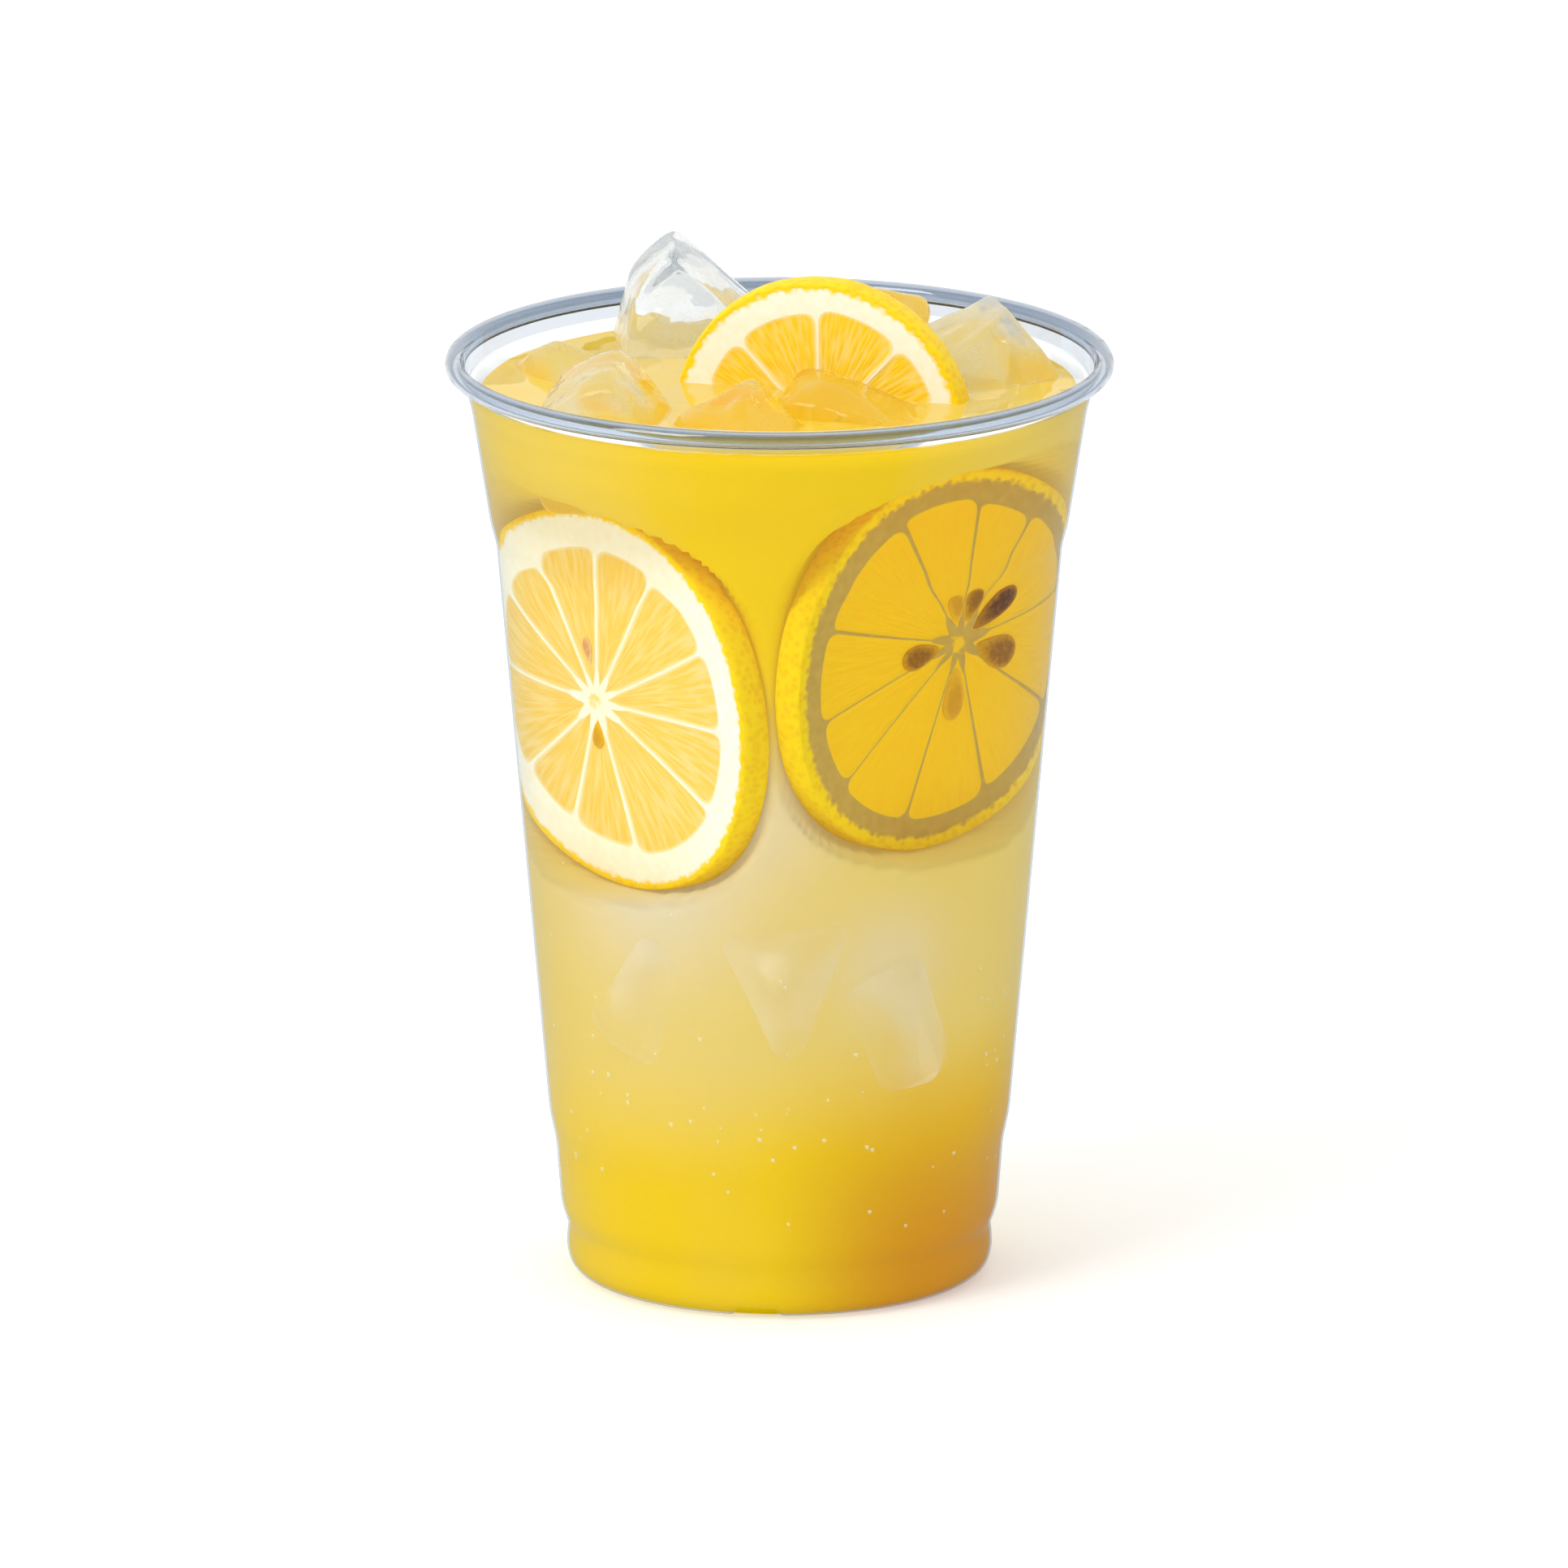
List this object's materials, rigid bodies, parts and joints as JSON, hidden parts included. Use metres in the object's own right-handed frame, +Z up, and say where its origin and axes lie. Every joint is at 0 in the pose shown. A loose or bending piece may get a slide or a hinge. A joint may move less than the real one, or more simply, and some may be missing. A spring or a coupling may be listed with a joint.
{
  "type": "cup of iced lemonade",
  "caption": "Clear disposable cold-drink cup filled with cloudy yellow lemonade, with lemon slices and melting ice at the rim.",
  "frame": {"origin": "centre of the cup's foot on the table, at the bottom centre of the bounding box", "axes": "+Z up along the cup's axis; the front of the drink, between the two sunk slices, faces -Y; +X to the right of someone facing the front"},
  "size_m": [0.098, 0.098, 0.152],
  "materials": {
    "clear_plastic": "clear thermoformed plastic, glossy",
    "lemonade": "cloudy yellow drink",
    "lemon": "cut lemon, yellow rind, white pith",
    "ice": "clear melting ice"
  },
  "bodies": {
    "root": {"cup": "clear_plastic", "lemonade": "lemonade", "lemon_left_slice": "lemon", "lemon_right_slice": "lemon", "lemon_top_slice": "lemon", "ice_back_left": "ice", "ice_left": "ice", "ice_front_left": "ice", "ice_front": "ice", "ice_front_right": "ice", "ice_right": "ice", "ice_back": "ice"}
  },
  "joints": []
}
